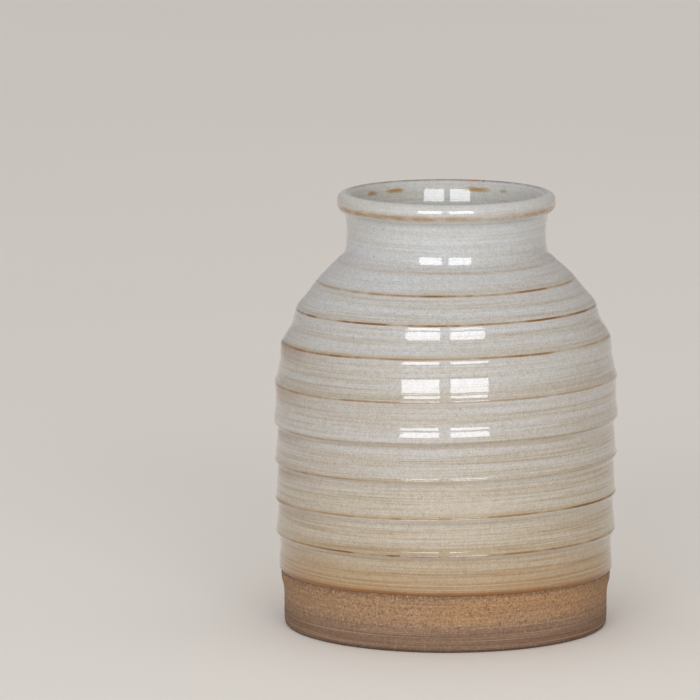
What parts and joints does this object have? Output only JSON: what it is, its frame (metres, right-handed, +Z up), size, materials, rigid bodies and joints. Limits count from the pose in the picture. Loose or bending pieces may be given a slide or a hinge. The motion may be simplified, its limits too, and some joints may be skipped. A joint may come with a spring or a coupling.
{
  "type": "stoneware vase",
  "caption": "Wheel-thrown stoneware vase: ridged jar-shaped body, short straight collar, rolled rim, pale glaze outside and in, and a bare clay foot band.",
  "frame": {"origin": "centre of the flat underside of the foot ring, on the surface that the vase stands on", "axes": "+Z up along the turning axis, out of the mouth; the vase is round, and -Y faces the viewer"},
  "size_m": [0.222, 0.222, 0.28],
  "materials": {
    "bare_stoneware": "unglazed, matt and slightly gritty, grey-brown with an orange flush under the glaze line",
    "outer_glaze": "glossy pale grey to oatmeal glaze with fine iron specks, breaking amber-brown on the ridges",
    "liner_glaze": "glossy pale grey liner glaze with fine iron specks"
  },
  "bodies": {
    "root": {"clay_body": "bare_stoneware", "outer_glaze": "outer_glaze", "liner_glaze": "liner_glaze"}
  },
  "joints": []
}
